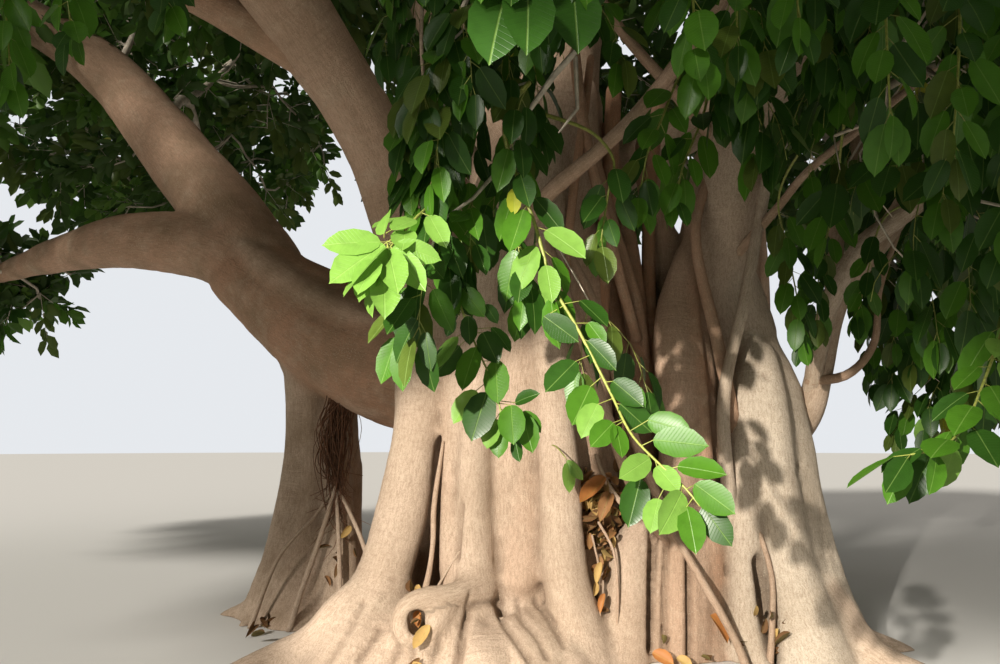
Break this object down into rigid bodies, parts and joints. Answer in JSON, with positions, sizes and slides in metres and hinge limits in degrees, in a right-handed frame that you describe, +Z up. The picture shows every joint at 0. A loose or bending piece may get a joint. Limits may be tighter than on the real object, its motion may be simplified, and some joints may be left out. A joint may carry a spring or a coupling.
{
  "type": "banyan tree",
  "caption": "Wide banyan tree: a fused, fluted cluster of stems and prop roots under a broad low crown of large glossy leaves, rooted in level ground.",
  "frame": {"origin": "middle of the flat cut under the main trunk, at ground level", "axes": "+Z up the trunk, +Y to the back, +X to the right as seen from the front, where the trunk cluster is widest"},
  "size_m": [23.1292, 21.2263, 14.6208],
  "materials": {
    "stem_bark": "pale tan bark with fine upright fissures and speckled pores",
    "bough_bark": "brown bark with rings of fine wrinkles",
    "root_bark": "smooth red-brown bark",
    "crown_leaves": "dense glossy dark green leaves",
    "spray_leaves": "glossy bright green leaves"
  },
  "bodies": {
    "root": {"bough_back": "bough_bark", "bough_back_left": "bough_bark", "bough_back_right": "bough_bark", "bough_centre": "bough_bark", "bough_front": "bough_bark", "bough_front_left": "bough_bark", "bough_front_left_side": "bough_bark", "bough_left": "bough_bark", "bough_left_high": "bough_bark", "bough_left_low": "bough_bark", "bough_right": "bough_bark", "bough_right_high": "bough_bark", "bough_right_side": "bough_bark", "bough_right_up": "bough_bark", "crown_top": "crown_leaves", "curtain_centre": "crown_leaves", "curtain_right": "crown_leaves", "curtain_upper_right": "crown_leaves", "inner_back": "crown_leaves", "inner_front": "crown_leaves", "inner_left": "crown_leaves", "inner_right": "crown_leaves", "low_front_left": "crown_leaves", "low_left": "crown_leaves", "low_right": "crown_leaves", "outer_back": "crown_leaves", "outer_back_left": "crown_leaves", "outer_back_right": "crown_leaves", "outer_front": "crown_leaves", "outer_front_left": "crown_leaves", "outer_front_right": "crown_leaves", "outer_left": "crown_leaves", "outer_right": "crown_leaves", "pillar_left": "stem_bark", "root_pillar_back": "root_bark", "root_pillar_far": "root_bark", "root_post": "root_bark", "root_post_behind": "root_bark", "root_right_inner": "root_bark", "root_right_leaning": "root_bark", "root_slant": "root_bark", "root_string_front": "root_bark", "root_string_side": "root_bark", "spray_left": "spray_leaves", "spray_low_right": "spray_leaves", "spray_middle": "spray_leaves", "spray_right": "spray_leaves", "stem_back_left": "stem_bark", "stem_back_right": "stem_bark", "stem_left": "stem_bark", "stem_right": "stem_bark", "stem_right_inner": "stem_bark", "stem_right_upper": "stem_bark", "trunk_main": "stem_bark", "upper_back_left": "crown_leaves", "upper_back_right": "crown_leaves", "upper_front": "crown_leaves", "upper_left": "crown_leaves", "upper_right": "crown_leaves"}
  },
  "joints": []
}
